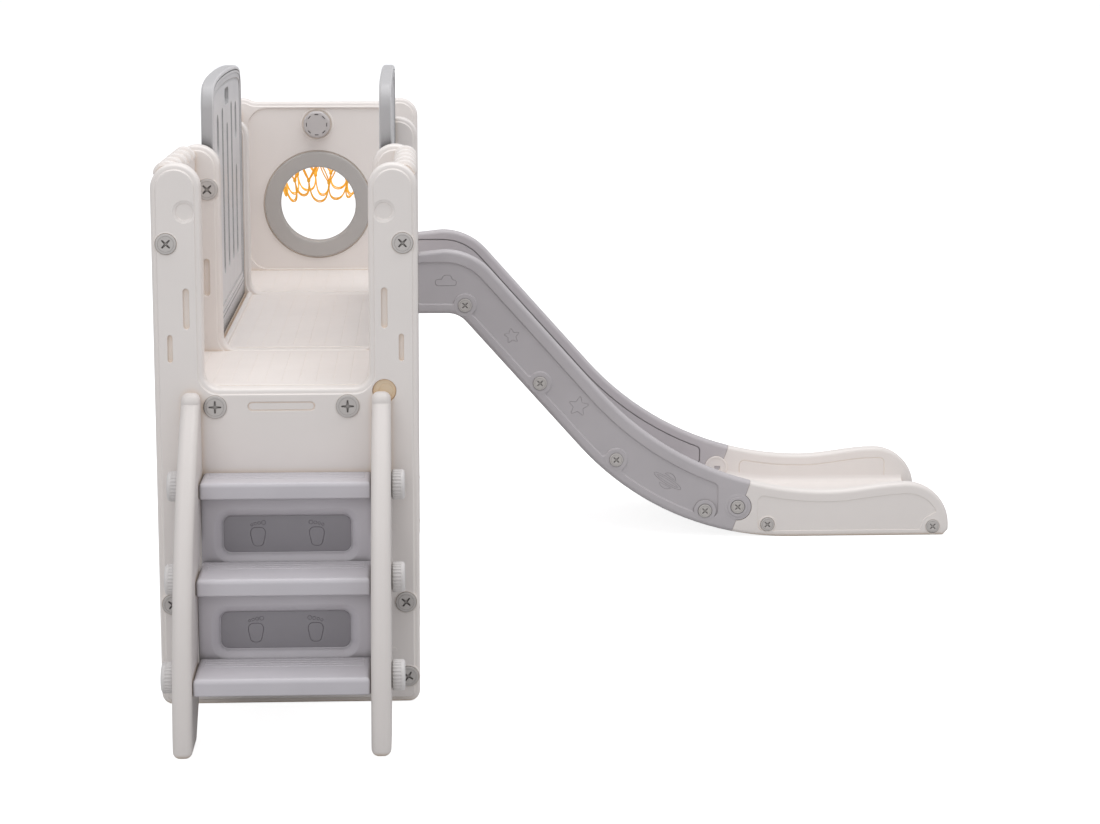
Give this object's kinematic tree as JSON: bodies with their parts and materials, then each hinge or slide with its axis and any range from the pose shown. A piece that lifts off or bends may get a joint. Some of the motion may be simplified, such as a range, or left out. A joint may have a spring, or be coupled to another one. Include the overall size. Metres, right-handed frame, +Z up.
{
  "type": "slide play set",
  "caption": "Free-standing toddler play set: ladder tower, fenced bridge over a crawl-through arch, window wall with ball hoop, and a curved slide.",
  "frame": {"origin": "middle of the footprint, on the ground", "axes": "+X down the slide, +Y from the ladder to the ball hoop, +Z up"},
  "size_m": [1.6048, 1.947, 1.046],
  "materials": {
    "panel_white": "satin moulded plastic, warm white",
    "slide_grey": "satin moulded plastic, cool grey",
    "fence_grey": "satin moulded plastic, light grey",
    "screw_grey": "satin moulded plastic, warm grey",
    "hoop_plastic": "moulded plastic, orange",
    "net_cord": "twisted nylon cord, orange"
  },
  "bodies": {
    "frame": {"front_panel": "panel_white", "tower_rear_panel": "panel_white", "tower_side_left": "panel_white", "tower_side_right": "panel_white", "tower_deck": "panel_white", "bridge_deck": "panel_white", "arch_side_left": "panel_white", "arch_side_right": "panel_white", "fence_left": "fence_grey", "fence_right": "fence_grey", "slide_tower_panel": "panel_white", "window_wall": "panel_white", "slide_tower_side_left": "panel_white", "slide_tower_side_right": "panel_white", "slide_tower_deck": "panel_white", "window_ring": "slide_grey", "hoop_rim": "hoop_plastic", "hoop_net": "net_cord", "hoop_stud": "screw_grey", "ladder_side_left": "panel_white", "ladder_side_right": "panel_white", "tread_low": "slide_grey", "tread_middle": "slide_grey", "tread_top": "slide_grey", "riser_low": "slide_grey", "riser_high": "slide_grey", "tie_rods": "screw_grey", "slide_bed": "slide_grey", "slide_rail_near": "slide_grey", "slide_rail_far": "slide_grey", "slide_end_bed": "panel_white", "slide_end_rail_near": "panel_white", "slide_end_rail_far": "panel_white", "wall_screws": "screw_grey", "deck_screws": "screw_grey", "fence_screws": "screw_grey", "slide_screws": "screw_grey", "slide_end_screws": "screw_grey"},
    "nut_left_low": {"nut_left_low": "screw_grey"},
    "nut_left_middle": {"nut_left_middle": "screw_grey"},
    "nut_left_top": {"nut_left_top": "screw_grey"},
    "nut_right_low": {"nut_right_low": "screw_grey"},
    "nut_right_middle": {"nut_right_middle": "screw_grey"},
    "nut_right_top": {"nut_right_top": "screw_grey"},
    "hoop_nut": {"hoop_nut": "screw_grey"}
  },
  "joints": [
    {"name": "nut_left_low_turn", "type": "hinge", "parent": "frame", "child": "nut_left_low", "pos_m": [-0.76772, -0.8965, 0.111], "axis": [-1, 0, 0], "continuous": true},
    {"name": "nut_left_middle_turn", "type": "hinge", "parent": "frame", "child": "nut_left_middle", "pos_m": [-0.76772, -0.8185, 0.252], "axis": [-1, 0, 0], "continuous": true},
    {"name": "nut_left_top_turn", "type": "hinge", "parent": "frame", "child": "nut_left_top", "pos_m": [-0.76772, -0.7565, 0.393], "axis": [-1, 0, 0], "continuous": true},
    {"name": "nut_right_low_turn", "type": "hinge", "parent": "frame", "child": "nut_right_low", "pos_m": [-0.39712, -0.8965, 0.111], "axis": [1, 0, 0], "continuous": true},
    {"name": "nut_right_middle_turn", "type": "hinge", "parent": "frame", "child": "nut_right_middle", "pos_m": [-0.39712, -0.8185, 0.252], "axis": [1, 0, 0], "continuous": true},
    {"name": "nut_right_top_turn", "type": "hinge", "parent": "frame", "child": "nut_right_top", "pos_m": [-0.39712, -0.7565, 0.393], "axis": [1, 0, 0], "continuous": true},
    {"name": "hoop_nut_turn", "type": "hinge", "parent": "frame", "child": "hoop_nut", "pos_m": [-0.59142, 0.6555, 0.884], "axis": [0, -1, 0], "continuous": true}
  ]
}
